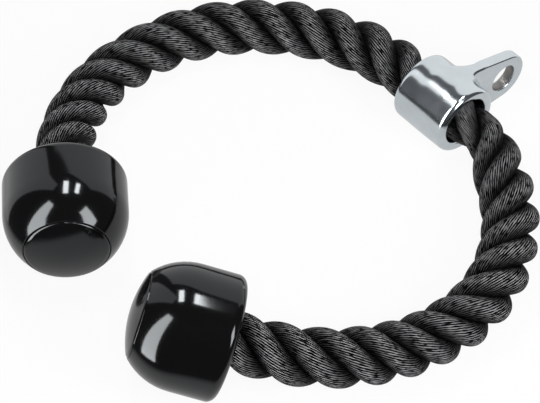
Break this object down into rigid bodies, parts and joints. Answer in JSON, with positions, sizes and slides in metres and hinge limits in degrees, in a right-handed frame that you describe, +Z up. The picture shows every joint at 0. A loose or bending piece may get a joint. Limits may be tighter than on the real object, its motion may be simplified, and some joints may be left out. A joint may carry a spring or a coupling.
{
  "type": "triceps rope attachment",
  "caption": "Thick black laid rope bent through a cast metal collar with an eye for a cable machine's snap hook, with a smooth round stop knob on each end.",
  "frame": {"origin": "on the floor plane, below the middle of the box round the collar and the knobs", "axes": "+Z up from the floor that the ring of rope lies on; +Y from the open side with the knobs to the collar and its eye; +X along the collar's bore, to the right seen from the knobs"},
  "size_m": [0.2919, 0.3119, 0.0721],
  "materials": {
    "rope": "laid nylon filaments, satin",
    "knob": "polished moulding",
    "collar": "polished casting",
    "washer": "zinc plated",
    "ferrule": "drawn tube, crimped"
  },
  "bodies": {
    "rope": {"rope_middle": "rope", "rope_arm_left": "rope", "rope_arm_right": "rope"},
    "collar": {"collar": "collar"},
    "left_end": {"rope_end_left": "rope", "ferrule_left": "ferrule", "washer_left": "washer"},
    "left_knob": {"knob_shell_left": "knob", "end_cap_left": "knob"},
    "right_end": {"rope_end_right": "rope", "ferrule_right": "ferrule", "washer_right": "washer"},
    "right_knob": {"knob_shell_right": "knob", "end_cap_right": "knob"}
  },
  "joints": [
    {"name": "collar_turn", "type": "hinge", "parent": "rope", "child": "collar", "pos_m": [0.0146, 0.0966, 0.0215], "axis": [1, 0, 0], "continuous": true},
    {"name": "left_arm_bend", "type": "hinge", "parent": "rope", "child": "left_end", "pos_m": [-0.12916, 0.00707, 0.01628], "axis": [0, 0, -1], "range_deg": [-6, 60], "deforming": ["rope_arm_left"]},
    {"name": "left_knob_turn", "type": "hinge", "parent": "left_end", "child": "left_knob", "pos_m": [-0.0716, -0.1057, 0.034], "axis": [0.8049, -0.5934, 0], "continuous": true},
    {"name": "right_arm_bend", "type": "hinge", "parent": "rope", "child": "right_end", "pos_m": [0.12933, 0.00542, 0.01632], "axis": [0, 0, 1], "range_deg": [-6, 60], "deforming": ["rope_arm_right"]},
    {"name": "right_knob_turn", "type": "hinge", "parent": "right_end", "child": "right_knob", "pos_m": [0.0684, -0.1067, 0.0315], "axis": [-0.7233, -0.6332, 0.2756], "continuous": true}
  ]
}
